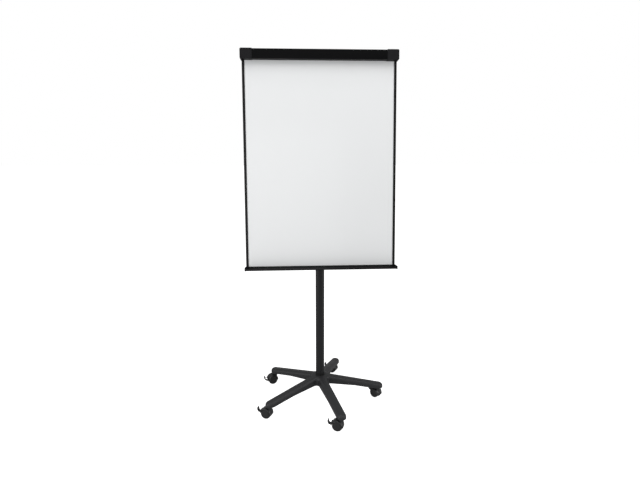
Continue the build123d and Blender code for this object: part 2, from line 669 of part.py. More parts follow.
with BuildPart() as castor_stems:
    with PolarLocations(TIP_R, ARMS, start_angle=ARM_ANGLE):
        with Locations((0, 0, STEM_BOTTOM)):
            Cylinder(STEM_LOWER_R, HOOD_TOP + GAP - STEM_BOTTOM, align=(Align.CENTER, Align.CENTER, Align.MIN))
        with Locations((0, 0, HOOD_TOP + GAP)):
            Cylinder(
                STEM_FLANGE_R, TIP_UNDERSIDE - HOOD_TOP - GAP, align=(Align.CENTER, Align.CENTER, Align.MIN)
            )
        with Locations((0, 0, TIP_UNDERSIDE)):
            Cylinder(STEM_R, STEM_TOP - TIP_UNDERSIDE, align=(Align.CENTER, Align.CENTER, Align.MIN))
castor_stems.part.label = "castor_stems"
export_step(castor_stems.part, "parts/castor_stems.step")


def polar(centre, radius, angle):
    return (centre[0] + radius * cos(radians(angle)), centre[1] + radius * sin(radians(angle)))


def ring_sector(centre, inner, outer, start, sweep_angle):
    """Sketch of the face between two arcs about a centre."""
    with BuildSketch() as sector:
        with BuildLine():
            CenterArc(centre, outer, start, sweep_angle)
            CenterArc(centre, inner, start, sweep_angle)
            Line(polar(centre, inner, start), polar(centre, outer, start))
            Line(polar(centre, inner, start + sweep_angle), polar(centre, outer, start + sweep_angle))
        make_face()
    return sector.sketch


AXLE = (TRAIL, WHEEL_R)                                             # in a castor's side view
PEDAL_PIVOT = polar(AXLE, PEDAL_PIVOT_R, PEDAL_PIVOT_ANGLE)


def castor_hood(side_view, foot):
    """Web, hood and neck in one moulding, with bores for the stem, the axle and the pedal."""
    with BuildPart() as hood:
        with BuildSketch(side_view):
            with Locations(AXLE):
                Circle(HOOD_INNER_R - 4)
            box2d(-9, TRAIL, WHEEL_R, HOOD_TOP - 12)
        extrude(amount=WEB / 2, both=True)
        with BuildSketch(side_view):
            add(ring_sector(AXLE, HOOD_INNER_R, HOOD_OUTER_R, HOOD_FROM, HOOD_SWEEP))
        extrude(amount=HOOD_W / 2, both=True)
        with BuildSketch(side_view):
            add(ring_sector(AXLE, HOOD_INNER_R - 6, HOOD_OUTER_R - 1, HOOD_FROM + 20, HOOD_SWEEP - 30))
        extrude(amount=WEB / 2, both=True)
        with BuildSketch(foot.offset(STEM_BOTTOM - 5)):
            Circle(NECK_R)
        extrude(amount=HOOD_TOP - STEM_BOTTOM + 5)
        for lug in (side_view.offset(PEDAL_HALF + GAP), side_view.offset(-PEDAL_HALF - GAP - LUG_T)):
            with BuildSketch(lug):
                with Locations(PEDAL_PIVOT):
                    Circle(LUG_R)
            extrude(amount=LUG_T)
        with BuildSketch(side_view):
            with Locations(PEDAL_PIVOT):
                Circle(BARREL_R + 0.5)
        extrude(amount=PEDAL_HALF + GAP, both=True, mode=Mode.SUBTRACT)
        with BuildSketch(side_view):
            with Locations(PEDAL_PIVOT):
                Circle(TRUNNION_R + RUN)
            with Locations(AXLE):
                Circle(AXLE_R)
        extrude(amount=HOOD_W, both=True, mode=Mode.SUBTRACT)
        with BuildSketch(foot.offset(STEM_BOTTOM - 0.5)):
            Circle(STEM_LOWER_R + RUN)
        extrude(amount=40, mode=Mode.SUBTRACT)
        for face_side in (1, -1):       # room for the wheels beside the web, below the hood
            with BuildSketch(side_view.offset(face_side * (WEB / 2 + 1))):
                with Locations(AXLE):
                    Circle(HOOD_INNER_R)
            extrude(amount=face_side * HOOD_W, mode=Mode.SUBTRACT)
    return hood.part


def castor_wheel(axle_plane, hand):
    """One domed wheel on a blind bore; hand is +1 or -1 along the axle."""
    bore_end = AXLE_HALF + 0.5
    tread_end = WHEEL_OUT - 8.0
    dish = WHEEL_OUT - 1.2
    with BuildPart() as wheel:
        with BuildSketch(axle_plane):
            with BuildLine():
                Polyline(
                    (hand * bore_end, 0), (hand * bore_end, AXLE_R + RUN), (hand * WHEEL_IN, AXLE_R + RUN),
                    (hand * WHEEL_IN, WHEEL_R - 1), (hand * (WHEEL_IN + 1), WHEEL_R),
                    (hand * tread_end, WHEEL_R),
                )
                ThreePointArc((hand * tread_end, WHEEL_R), (hand * 18.0, 22.3), (hand * WHEEL_OUT, 14.5))
                Polyline(
                    (hand * WHEEL_OUT, 14.5), (hand * dish, 13), (hand * dish, 7.5), (hand * WHEEL_OUT, 6),
                    (hand * WHEEL_OUT, 0), (hand * bore_end, 0),
                )
            make_face()
        revolve(axis=Axis(axle_plane.origin, axle_plane.x_dir))
    return wheel.part


def castor_pedal(side_view):
    """Brake pedal: barrel on two trunnions, curved plate and an upturned tongue."""
    with BuildPart() as pedal:
        with BuildSketch(side_view):
            with Locations(PEDAL_PIVOT):
                Circle(BARREL_R)
        extrude(amount=PEDAL_HALF, both=True)
        with BuildSketch(side_view):
            add(ring_sector(AXLE, 29.6, 32.0, -8, PEDAL_PIVOT_ANGLE + 8))
            with Locations(AXLE):
                Polygon(
                    (30.5, 0), (40, 0.6), (45, 5.5), (47.4, 13), (46.8, 24), (44.2, 23.6), (44.6, 13.6),
                    (42.6, 7.6), (38.6, 3.6), (30.5, 3.4),
                    align=None,
                )
        extrude(amount=PEDAL_HALF, both=True)
        with BuildSketch(side_view):
            with Locations(PEDAL_PIVOT):
                Circle(TRUNNION_R)
        extrude(amount=PEDAL_HALF + GAP + LUG_T, both=True)
    return pedal.part


for number, heading in enumerate(CASTOR_HEADINGS, start=1):
    arm = radians(ARM_ANGLE + (number - 1) * 360 / ARMS)
    trail = Vector(cos(radians(heading)), sin(radians(heading)), 0)
    axle_dir = trail.cross(Vector(0, 0, 1))
    ground = Vector(TIP_R * cos(arm), TIP_R * sin(arm), 0)
    foot_plane = Plane(origin=ground, x_dir=trail, z_dir=(0, 0, 1))
    side_plane = Plane(origin=ground, x_dir=trail, z_dir=axle_dir)
    axle_centre = ground + trail * TRAIL + Vector(0, 0, WHEEL_R)
    axle_plane = Plane(origin=axle_centre, x_dir=axle_dir, z_dir=trail * -1)

    with BuildPart() as axle:
        with BuildSketch(side_plane):
            with Locations(AXLE):
                Circle(AXLE_R)
        extrude(amount=AXLE_HALF, both=True)

    castor_pieces = {
        "hood": castor_hood(side_plane, foot_plane),
        "axle": axle.part,
        "outer_wheel": castor_wheel(axle_plane, 1),
        "inner_wheel": castor_wheel(axle_plane, -1),
        "pedal": castor_pedal(side_plane),
    }
    for piece, solid in castor_pieces.items():
        solid.label = f"castor_{number}_{piece}"
        export_step(solid, f"parts/castor_{number}_{piece}.step")
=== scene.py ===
# Mobile flipchart easel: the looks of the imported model, built piece by piece around its frame.
import json
from math import asin, cos, pi, radians, sin

import bmesh
import bpy
from mathutils import Matrix, Vector


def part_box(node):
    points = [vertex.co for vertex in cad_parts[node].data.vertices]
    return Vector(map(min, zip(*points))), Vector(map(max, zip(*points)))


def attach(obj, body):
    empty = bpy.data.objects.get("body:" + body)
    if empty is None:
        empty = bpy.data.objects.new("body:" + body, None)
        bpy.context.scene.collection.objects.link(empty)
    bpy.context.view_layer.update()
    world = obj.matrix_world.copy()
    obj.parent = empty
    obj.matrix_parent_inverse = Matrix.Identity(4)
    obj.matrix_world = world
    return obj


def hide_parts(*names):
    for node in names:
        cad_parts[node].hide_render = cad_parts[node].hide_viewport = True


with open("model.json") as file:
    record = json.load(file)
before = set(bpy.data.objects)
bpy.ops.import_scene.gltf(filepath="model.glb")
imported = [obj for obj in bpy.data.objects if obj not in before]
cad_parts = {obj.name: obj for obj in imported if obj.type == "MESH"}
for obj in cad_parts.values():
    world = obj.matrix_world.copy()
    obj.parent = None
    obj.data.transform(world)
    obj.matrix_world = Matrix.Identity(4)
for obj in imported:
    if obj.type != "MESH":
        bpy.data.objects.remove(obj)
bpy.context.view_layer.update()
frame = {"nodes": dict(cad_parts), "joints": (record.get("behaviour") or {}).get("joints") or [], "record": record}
bpy.ops.object.select_all(action="DESELECT")

# ---- Camera, floor and studio light --------------------------------------------------------------
# The easel stands on a white paper sweep in a dim room, seen from a little left of the middle. A
# large soft light hangs over the front, tall ones stand at both sides and a faint one in front.
EYE = Vector((-0.1293, -2.2597, 1.289))
HEADING = -0.0574
LOOK_DOWN = 0.1958
HORIZON_ROLL = -0.0011
LENS_MM = 26.669
SENSOR_MM = 36.0
ROOM_GREY = 0.42
PAPER_WHITE = 0.55
PAPER_GLOW = 1.0

lens = bpy.data.cameras.new("studio_camera")
lens.lens = LENS_MM
lens.sensor_width = SENSOR_MM
lens.clip_end = 60.0
camera = bpy.data.objects.new("studio_camera", lens)
bpy.context.scene.collection.objects.link(camera)
camera.matrix_world = (
    Matrix.Translation(EYE)
    @ Matrix.Rotation(HEADING, 4, "Z")
    @ Matrix.Rotation(pi / 2 - LOOK_DOWN, 4, "X")
    @ Matrix.Rotation(HORIZON_ROLL, 4, "Z")
)
bpy.context.scene.camera = camera
bpy.context.scene.view_settings.view_transform = "Standard"

bpy.ops.mesh.primitive_plane_add(size=60.0, location=(0, 0, -0.0005))
floor = bpy.context.object
floor.name = "floor"
paper = bpy.data.materials.new("white_paper")
paper.use_nodes = True
paper_shader = paper.node_tree.nodes["Principled BSDF"]
paper_shader.inputs["Base Color"].default_value = (PAPER_WHITE, PAPER_WHITE, PAPER_WHITE, 1)
paper_shader.inputs["Roughness"].default_value = 0.95
paper_shader.inputs["Specular IOR Level"].default_value = 0.1
paper_shader.inputs["Emission Color"].default_value = (1, 1, 1, 1)
seen = paper.node_tree.nodes.new("ShaderNodeLightPath")
glow = paper.node_tree.nodes.new("ShaderNodeMath")
glow.operation = "MULTIPLY"
glow.inputs[1].default_value = PAPER_GLOW
paper.node_tree.links.new(seen.outputs["Is Camera Ray"], glow.inputs[0])
paper.node_tree.links.new(glow.outputs[0], paper_shader.inputs["Emission Strength"])
floor.data.materials.append(paper)

room = bpy.data.worlds.new("studio_room")
room.use_nodes = True
sweep_light = room.node_tree.nodes["Background"]
sweep_light.inputs["Color"].default_value = (1.0, 1.0, 1.0, 1)
seen = room.node_tree.nodes.new("ShaderNodeLightPath")
dimmer = room.node_tree.nodes.new("ShaderNodeMapRange")
dimmer.inputs["To Min"].default_value = ROOM_GREY
dimmer.inputs["To Max"].default_value = 1.0
room.node_tree.links.new(seen.outputs["Is Camera Ray"], dimmer.inputs["Value"])
room.node_tree.links.new(dimmer.outputs["Result"], sweep_light.inputs["Strength"])
bpy.context.scene.world = room


def softbox(name, place, aim, width, height, power):
    """A rectangular area light that faces a point."""
    light = bpy.data.lights.new(name, "AREA")
    light.shape = "RECTANGLE"
    light.size = width
    light.size_y = height
    light.energy = power
    lamp = bpy.data.objects.new(name, light)
    lamp.location = place
    lamp.rotation_euler = (Vector(aim) - Vector(place)).to_track_quat("-Z", "Y").to_euler()
    bpy.context.scene.collection.objects.link(lamp)


softbox("overhead_light", (0.2, -1.1, 3.4), (0, 0, 0.7), 2.6, 2.0, 38)
softbox("front_light", (-0.7, -3.8, 1.3), (0, 0, 0.7), 2.4, 1.8, 18)
softbox("left_light", (-2.8, -1.3, 1.3), (0, 0, 0.9), 1.0, 2.4, 38)
softbox("right_light", (2.8, -1.0, 1.3), (0, 0, 0.9), 1.0, 2.4, 30)

# ---- Star base -----------------------------------------------------------------------------------
# Five hollow arms in one injection moulding of glass-filled nylon, black with a fine satin grain.
# The column is drawn into its hub by a zinc-plated bolt from below.


def coat(
    name, colour, roughness, grain, depth, mottle=0.12, spread=0.06, stretch=(1, 1, 1), **sockets
):
    """A finish with a fine grain in relief and slow changes of tone and gloss over the surface.

    grain and the slow pattern count features per metre, depth is the relief in metres, and stretch
    lengthens both patterns along an axis. Other words set the shader's sockets of that name."""
    material = bpy.data.materials.new(name)
    material.use_nodes = True
    tree = material.node_tree
    shader = tree.nodes["Principled BSDF"]

    place = tree.nodes.new("ShaderNodeTexCoord")
    lay = tree.nodes.new("ShaderNodeMapping")
    lay.inputs["Scale"].default_value = stretch
    tree.links.new(place.outputs["Object"], lay.inputs["Vector"])

    fine = tree.nodes.new("ShaderNodeTexNoise")
    fine.inputs["Scale"].default_value = grain
    fine.inputs["Detail"].default_value = 3.0
    tree.links.new(lay.outputs["Vector"], fine.inputs["Vector"])
    slow = tree.nodes.new("ShaderNodeTexNoise")
    slow.inputs["Scale"].default_value = 14.0
    slow.inputs["Detail"].default_value = 5.0
    tree.links.new(lay.outputs["Vector"], slow.inputs["Vector"])

    tone = tree.nodes.new("ShaderNodeMix")
    tone.data_type = "RGBA"
    tone.inputs["A"].default_value = [c * (1 - mottle) for c in colour] + [1]
    tone.inputs["B"].default_value = [min(1, c * (1 + mottle)) for c in colour] + [1]
    tree.links.new(slow.outputs["Fac"], tone.inputs["Factor"])
    tree.links.new(tone.outputs["Result"], shader.inputs["Base Color"])

    gloss = tree.nodes.new("ShaderNodeMapRange")
    gloss.inputs["From Min"].default_value = 0.3
    gloss.inputs["From Max"].default_value = 0.7
    gloss.inputs["To Min"].default_value = roughness - spread
    gloss.inputs["To Max"].default_value = roughness + spread
    tree.links.new(slow.outputs["Fac"], gloss.inputs["Value"])
    tree.links.new(gloss.outputs["Result"], shader.inputs["Roughness"])

    relief = tree.nodes.new("ShaderNodeBump")
    relief.inputs["Strength"].default_value = 0.6
    relief.inputs["Distance"].default_value = depth
    tree.links.new(fine.outputs["Fac"], relief.inputs["Height"])
    tree.links.new(relief.outputs["Normal"], shader.inputs["Normal"])
    for socket, value in sockets.items():
        shader.inputs[socket.replace("_", " ")].default_value = value
    return material


def dress(material, *node_names):
    """Gives carried-over solids their finish."""
    for node_name in node_names:
        solid = frame["nodes"][node_name]
        solid.data.materials.clear()
        solid.data.materials.append(material)


nylon = coat(
    "grained_nylon", (0.021, 0.0213, 0.023), 0.46, 1500, 0.00025, mottle=0.16, Specular_IOR_Level=0.32
)
zinc = coat("zinc_plate", (0.58, 0.59, 0.6), 0.3, 900, 0.00004, mottle=0.08, Metallic=1.0)
dress(nylon, "star_base")
dress(zinc, "hub_bolt")

# ---- Telescopic column ---------------------------------------------------------------------------
# Two steel tubes slide in each other, powder coated black, with the faint orange peel of the
# coating. A plastic ring covers the joint with the hub, and a bush and a collar close the mouth.
powder = coat(
    "black_powder_coat", (0.0095, 0.0097, 0.0108), 0.38, 620, 0.00018, mottle=0.1,
    Specular_IOR_Level=0.28,
)
collar_plastic = coat(
    "matt_black_plastic", (0.008, 0.008, 0.0086), 0.52, 1300, 0.0002, Specular_IOR_Level=0.2
)
dress(powder, "outer_column", "inner_column")
dress(collar_plastic, "column_collar", "column_bush", "clamp_collar", "foot_guide")

# ---- Height knob ---------------------------------------------------------------------------------
# A six-lobed hand knob behind the collar, moulded around the zinc-plated stud that presses on the
# inner column, with a raised round hub and a dimple in it.
SMOOTH_BELOW = radians(35)
WELD = 0.00001
NEAR = 0.0001
LOBES = 6
KNOB_VOXEL = 0.00062
HUB_RISE = 0.002
HEIGHT_KNOB_R = 0.02


def set_down():
    """Leaves edit mode and lets go of every object."""
    if bpy.context.object and bpy.context.object.mode == "EDIT":
        bpy.ops.object.mode_set(mode="OBJECT")
    bpy.ops.object.select_all(action="DESELECT")


def opened(name):
    """Names the primitive just added, sets its place in its mesh and opens it for editing."""
    piece = bpy.context.object
    piece.name = name
    bpy.ops.object.transform_apply(location=True, rotation=True, scale=True)
    bpy.ops.object.mode_set(mode="EDIT")
    bpy.ops.mesh.select_all(action="DESELECT")
    return piece


def drum(name, middle, axis, radius, depth, sides=64, caps="NGON"):
    """A cylinder about an axis through its middle, opened for editing."""
    set_down()
    turn = Vector(axis).to_track_quat("Z", "Y").to_euler()
    bpy.ops.mesh.primitive_cylinder_add(
        vertices=sides, radius=radius, depth=depth, end_fill_type=caps, location=middle, rotation=turn
    )
    return opened(name)


def block(name, low, high):
    """A cuboid between two corners, opened for editing."""
    set_down()
    middle = [(a + b) / 2 for a, b in zip(low, high)]
    sides = [b - a for a, b in zip(low, high)]
    bpy.ops.mesh.primitive_cube_add(size=1.0, location=middle, scale=sides)
    return opened(name)


def choose(piece, kind, test):
    """Selects the faces or edges that pass a test of their middle and their normal or direction."""
    bpy.ops.mesh.select_mode(type={"faces": "FACE", "edges": "EDGE"}[kind])
    bpy.ops.mesh.select_all(action="DESELECT")
    mesh = bmesh.from_edit_mesh(piece.data)
    for part in getattr(mesh, kind):
        if kind == "faces":
            part.select_set(test(part.calc_center_median(), part.normal))
        else:
            first, last = (corner.co for corner in part.verts)
            part.select_set(test((first + last) / 2, (last - first).normalized()))
    mesh.select_flush_mode()
    bmesh.update_edit_mesh(piece.data)


def modify(piece, kind, **settings):
    """Adds a modifier to the piece and applies it."""
    set_down()
    bpy.context.view_layer.objects.active = piece
    step = piece.modifiers.new(kind.lower(), kind)
    for setting, value in settings.items():
        setattr(step, setting, value)
    bpy.ops.object.modifier_apply(modifier=step.name)


def welded(name, *parts):
    """Joins open or closed parts into the first of them."""
    set_down()
    for part in parts:
        part.select_set(True)
    bpy.context.view_layer.objects.active = parts[0]
    bpy.ops.object.join()
    parts[0].name = name
    return parts[0]


def cut(piece, *tools):
    """Cuts the tools' shapes out of the piece and throws the tools away."""
    for tool in tools:
        modify(piece, "BOOLEAN", operation="DIFFERENCE", object=tool, solver="EXACT")
        bpy.data.objects.remove(tool)


def hand_over(piece, material, body, slot, *stands_for, move=None):
    """Closes a finished piece: place, outward faces, shading, finish, body and nodes; slot is not used."""
    set_down()
    piece.select_set(True)
    bpy.context.view_layer.objects.active = piece
    if move is not None:
        piece.data.transform(move)
    bpy.ops.object.mode_set(mode="EDIT")
    bpy.ops.mesh.select_all(action="SELECT")
    bpy.ops.mesh.remove_doubles(threshold=WELD)
    bpy.ops.mesh.normals_make_consistent(inside=False)
    bpy.ops.object.mode_set(mode="OBJECT")
    bpy.ops.object.shade_smooth_by_angle(angle=SMOOTH_BELOW)
    piece.data.materials.clear()
    piece.data.materials.append(material)
    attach(piece, body)
    if stands_for:
        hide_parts(*stands_for)


def lobed_knob(name, base, axis, radius, depth):
    """Six lobes around a drum, melted together as one moulding, with a dimpled hub on top."""
    axis = Vector(axis)
    side = axis.orthogonal().normalized()
    middle = base + axis * depth / 2
    core = drum(name, middle, axis, 0.78 * radius, depth)
    lobes = []
    for number in range(LOBES):
        out = Matrix.Rotation(number * 2 * pi / LOBES, 3, axis) @ side
        lobes.append(drum("lobe", middle + out * 0.74 * radius, axis, 0.255 * radius, depth, 40))
        choose(lobes[-1], "edges", lambda mid, way: abs(way.dot(axis)) < 0.5)
        bpy.ops.mesh.bevel(offset=0.0015, segments=3, affect="EDGES")
    hub = drum("hub", base + axis * (depth - 0.001), axis, 0.5 * radius, 0.0058, 48)
    choose(hub, "faces", lambda mid, normal: normal.dot(axis) > 0.9)
    bpy.ops.mesh.inset(thickness=0.12 * radius)
    bpy.ops.transform.translate(value=-axis * 0.0012)
    knob = welded(name, core, *lobes, hub)
    modify(knob, "REMESH", mode="VOXEL", voxel_size=KNOB_VOXEL)
    modify(knob, "SMOOTH", factor=0.5, iterations=5)
    return knob


joints = {joint["name"]: joint for joint in frame["joints"]}
knob_plastic = coat("knob_plastic", (0.0135, 0.0135, 0.0145), 0.5, 1400, 0.0002)
dress(zinc, "height_stud")
knob_low, knob_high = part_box("height_knob")
height_knob = lobed_knob(
    "height_hand_knob", Vector((0, knob_low[1], (knob_low[2] + knob_high[2]) / 2)), (0, 1, 0),
    HEIGHT_KNOB_R, knob_high[1] - knob_low[1] - HUB_RISE,
)
hand_over(height_knob, knob_plastic, "height_knob", "knob_plastic", "height_knob")

# ---- Tilt head, bracket and tilt knob ------------------------------------------------------------
# The plastic head caps the inner column and carries the tilt bolt. Two ears of the pressed steel
# bracket swing on that bolt, held by a chamfered hexagon nut and by a six-lobed knob.
TILT_KNOB_R = 0.022
NUT_CORNER_R = 0.0094
NUT_BORE_R = 0.00505
NUT_SEAT_R = 0.0068
bracket_paint = coat("bracket_powder_coat", (0.0185, 0.0188, 0.0205), 0.42, 640, 0.00018)
dress(collar_plastic, "tilt_head")
dress(bracket_paint, "tilt_bracket")
dress(zinc, "tilt_bolt")

knob_low, knob_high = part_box("tilt_knob")
pivot = Vector(joints["board_tilt"]["pos_m"])
tilt_knob = lobed_knob(
    "tilt_hand_knob", Vector((knob_low[0], pivot.y, pivot.z)), (1, 0, 0),
    TILT_KNOB_R, knob_high[0] - knob_low[0] - HUB_RISE,
)
hand_over(tilt_knob, knob_plastic, "tilt_knob", "knob_plastic", "tilt_knob")

nut_low, nut_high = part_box("tilt_nut")
nut = drum(
    "tilt_hex_nut", ((nut_low[0] + nut_high[0]) / 2, pivot.y, pivot.z), (1, 0, 0),
    NUT_CORNER_R, nut_high[0] - nut_low[0], 6,
)
choose(nut, "faces", lambda mid, normal: abs(normal.x) > 0.9)
bpy.ops.mesh.inset(thickness=NUT_CORNER_R * cos(pi / 6) - NUT_SEAT_R)
bpy.ops.mesh.inset(thickness=0.0002)
choose(nut, "edges", lambda mid, way: abs(way.x) > 0.9)
bpy.ops.mesh.bevel(offset=0.0004, segments=2, affect="EDGES")
bore = drum("bore", (nut_low[0], pivot.y, pivot.z), (1, 0, 0), NUT_BORE_R, 0.05, 40)
cut(nut, bore)
modify(nut, "BEVEL", width=0.0005, segments=2, limit_method="ANGLE", angle_limit=radians(50))
hand_over(nut, zinc, "board", "zinc_steel", "tilt_nut")

# ---- Bracket screws ------------------------------------------------------------------------------
# Four zinc-plated pan-head screws with a cross recess, driven through the plate into the board.
# The board leans back, so its pieces are made upright about its pivot and then laid in place.
FRONT_NORMAL = next(m for m in frame["record"]["mounts"] if m["name"] == "left_hook_pin")["axis"]
LEAN = asin(FRONT_NORMAL[2])
IN_PLACE = Matrix.Translation(pivot) @ Matrix.Rotation(-LEAN, 4, "X")
UPRIGHT = IN_PLACE.inverted()


def upright_box(node_name):
    """A board node's corners before the board is laid back: x across, -y out of its face, z up."""
    points = [UPRIGHT @ corner.co for corner in frame["nodes"][node_name].data.vertices]
    low = Vector([min(point[k] for point in points) for k in range(3)])
    high = Vector([max(point[k] for point in points) for k in range(3)])
    return low, high


HEAD_R = 0.005
HEAD_T = 0.0024
SHANK_R = 0.0025
RECESS_LONG = 0.0024
RECESS_NARROW = 0.0005
RECESS_DEEP = 0.0012
low, high = upright_box("bracket_screws")
screw = drum("bracket_pan_screws", (0, 0, HEAD_T / 2), (0, 0, 1), HEAD_R, HEAD_T, 40)
choose(screw, "edges", lambda mid, way: mid.z > HEAD_T - NEAR)
bpy.ops.mesh.bevel(offset=0.0014, segments=5, affect="EDGES")
for wide, tall in ((RECESS_NARROW, RECESS_LONG), (RECESS_LONG, RECESS_NARROW)):
    cut(screw, block("slot", (-wide, -tall, HEAD_T - RECESS_DEEP), (wide, tall, HEAD_T + 0.001)))
length = high.y - low.y
shank = drum("shank", (0, 0, (HEAD_T - length) / 2), (0, 0, 1), SHANK_R, length - HEAD_T, 32)
screw = welded("bracket_pan_screws", screw, shank)
screws = [screw]
for across in (low.x + HEAD_R, high.x - HEAD_R):
    for up in (low.z + HEAD_R, high.z - HEAD_R):
        copy = screw.copy()
        copy.data = screw.data.copy()
        bpy.context.scene.collection.objects.link(copy)
        copy.data.transform(
            Matrix.Translation((across, high.y - HEAD_T, up)) @ Matrix.Rotation(-pi / 2, 4, "X")
        )
        screws.append(copy)
bpy.data.objects.remove(screws.pop(0))
screw = welded("bracket_pan_screws", *screws)
hand_over(screw, zinc, "board", "zinc_steel", "bracket_screws", move=IN_PLACE)

# ---- Board panel ---------------------------------------------------------------------------------
# A sheet of steel under glossy white dry-wipe lacquer, a paper honeycomb core and a grey primed
# backing sheet, glued as one panel. The lacquer has a very slight waviness and change of gloss.
lacquer = coat(
    "white_lacquer", (0.775, 0.785, 0.79), 0.3, 26, 0.00002, mottle=0.004, spread=0.012,
    Coat_Weight=0.3, Coat_Roughness=0.12,
)
cardboard = coat("honeycomb_card", (0.5, 0.4, 0.27), 0.85, 320, 0.0006, stretch=(1, 1, 0.2))
primer = coat("grey_primer", (0.33, 0.34, 0.345), 0.6, 800, 0.00015, mottle=0.05)
dress(lacquer, "writing_sheet")
dress(cardboard, "board_core")
dress(primer, "backing_sheet")

# ---- Frame of the board --------------------------------------------------------------------------
# Aluminium channels, anodised black, grip the panel's four edges. Their faint drawing lines run
# along each length. The top one carries the slotted track of the pad hooks.
upright_anodised = coat(
    "anodised_upright", (0.0055, 0.0055, 0.006), 0.36, 900, 0.00008, stretch=(1, 1, 0.01),
    Specular_IOR_Level=0.2,
)
level_anodised = coat(
    "anodised_level", (0.0055, 0.0055, 0.006), 0.38, 900, 0.00008, stretch=(0.01, 1, 1),
    Specular_IOR_Level=0.2,
)
dress(upright_anodised, "left_side_profile", "right_side_profile")
dress(level_anodised, "top_rail", "bottom_rail")

# ---- Pad hooks -----------------------------------------------------------------------------------
# Two moulded hooks slide in the track behind the clamp bar. Each has a foot in the slot, a knurled
# thumb flange, and a round pin for the punched holes of a pad.
PIN_R = 0.004
FLANGE_R = 0.007
FLANGE_T = 0.0022
PIN_REACH = 0.0145
KNURLS = 24
KNURL_RISE = 0.0003
HOOK_SLACK = 0.0005
STEM_R = 0.0026
FOOT_T = 0.0033
FOOT_TRIM = 0.0018
hook_plastic = coat("hook_plastic", (0.016, 0.016, 0.017), 0.34, 1200, 0.0001)
for side in ("left", "right"):
    low, high = upright_box(side + "_pad_hook")
    middle = (low + high) / 2
    track_face = low.y + PIN_REACH + FLANGE_T
    flange_r = FLANGE_R - 2 * KNURL_RISE
    flange = drum(
        side + "_hook_moulding", (middle.x, track_face - FLANGE_T / 2, middle.z), (0, -1, 0),
        flange_r, FLANGE_T, 2 * KNURLS,
    )
    choose(flange, "faces", lambda mid, normal: abs(normal.y) < 0.1)
    ring = bmesh.from_edit_mesh(flange.data)
    for number, face in enumerate(face for face in ring.faces if face.select):
        face.select_set(number % 2 == 0)
    bmesh.update_edit_mesh(flange.data)
    bpy.ops.mesh.extrude_faces_move(TRANSFORM_OT_shrink_fatten={"value": KNURL_RISE})
    choose(flange, "faces", lambda mid, normal: (
        normal.y < -0.9 and abs(mid.x - middle.x) < 0.001 and abs(mid.z - middle.z) < 0.001
    ))
    bpy.ops.mesh.inset(thickness=flange_r - PIN_R)
    bpy.ops.mesh.extrude_region_move(TRANSFORM_OT_translate={"value": (0, -PIN_REACH, 0)})
    bpy.ops.mesh.bevel(offset=0.001, segments=4, affect="EDGES")
    stem = drum(
        "stem", (middle.x, (track_face + high.y) / 2, middle.z), (0, 1, 0),
        STEM_R, high.y - track_face, 32,
    )
    foot = block(
        "foot", (low.x + HOOK_SLACK, high.y - FOOT_T, low.z + FOOT_TRIM),
        (high.x - HOOK_SLACK, high.y, high.z - FOOT_TRIM),
    )
    choose(foot, "edges", lambda mid, way: True)
    bpy.ops.mesh.bevel(offset=0.0005, segments=2, affect="EDGES")
    hook = welded(side + "_hook_moulding", flange, stem, foot)
    hand_over(hook, hook_plastic, side + "_hook", "hook_plastic", side + "_pad_hook", move=IN_PLACE)

# ---- Clamp bar -----------------------------------------------------------------------------------
# An aluminium extrusion, anodised black: a shallow box open at the back, with soft front corners,
# a fine line drawn along its face, a returned lower lip, and the hinge tube inside its top.
BAR_WALL = 0.002
GROOVE_TOP = 0.0060
GROOVE_FOOT = 0.0068
GROOVE_DEEP = 0.0005
LIP_RISE = 0.006
HINGE_R = 0.0079
HINGE_BORE_R = 0.00305
bar_anodised = coat(
    "anodised_bar", (0.0026, 0.0026, 0.0029), 0.34, 900, 0.00008, stretch=(0.01, 1, 1),
    Specular_IOR_Level=0.07,
)
low, high = upright_box("clamp_bar")
bar = block("clamp_bar_extrusion", low, high)
choose(bar, "faces", lambda mid, normal: normal.y > 0.5 or abs(normal.x) > 0.5)
bpy.ops.mesh.delete(type="FACE")
choose(bar, "edges", lambda mid, way: abs(way.x) > 0.9 and mid.y < low.y + 0.001)
bpy.ops.mesh.bevel(offset=0.0028, segments=5, affect="EDGES")
for height in (high.z - GROOVE_FOOT, high.z - GROOVE_TOP):
    choose(bar, "faces", lambda mid, normal: True)
    bpy.ops.mesh.bisect(plane_co=(0, 0, height), plane_no=(0, 0, 1))
choose(bar, "faces", lambda mid, normal: (
    normal.y < -0.9 and high.z - GROOVE_FOOT < mid.z < high.z - GROOVE_TOP
))
bpy.ops.mesh.extrude_region_move(TRANSFORM_OT_translate={"value": (0, GROOVE_DEEP, 0)})
modify(bar, "SOLIDIFY", thickness=BAR_WALL, offset=-1.0)
lip = block("lip", (low.x, high.y - BAR_WALL, low.z), (high.x, high.y, low.z + LIP_RISE))
choose(lip, "edges", lambda mid, way: abs(way.x) > 0.9)
bpy.ops.mesh.bevel(offset=0.0005, segments=2, affect="EDGES")
hinge = UPRIGHT @ Vector(joints["clamp_bar_hinge"]["pos_m"])
tube = drum("tube", (0, hinge.y, hinge.z), (1, 0, 0), HINGE_R, high.x - low.x, 48)
choose(tube, "faces", lambda mid, normal: abs(normal.x) > 0.9)
bpy.ops.mesh.inset(thickness=HINGE_R - HINGE_BORE_R)
bpy.ops.mesh.bridge_edge_loops()
bar = welded("clamp_bar_extrusion", bar, lip, tube)
hand_over(bar, bar_anodised, "clamp_bar", "bar_black", "clamp_bar", move=IN_PLACE)
dress(zinc, "bar_hinge_pins", "bar_springs")

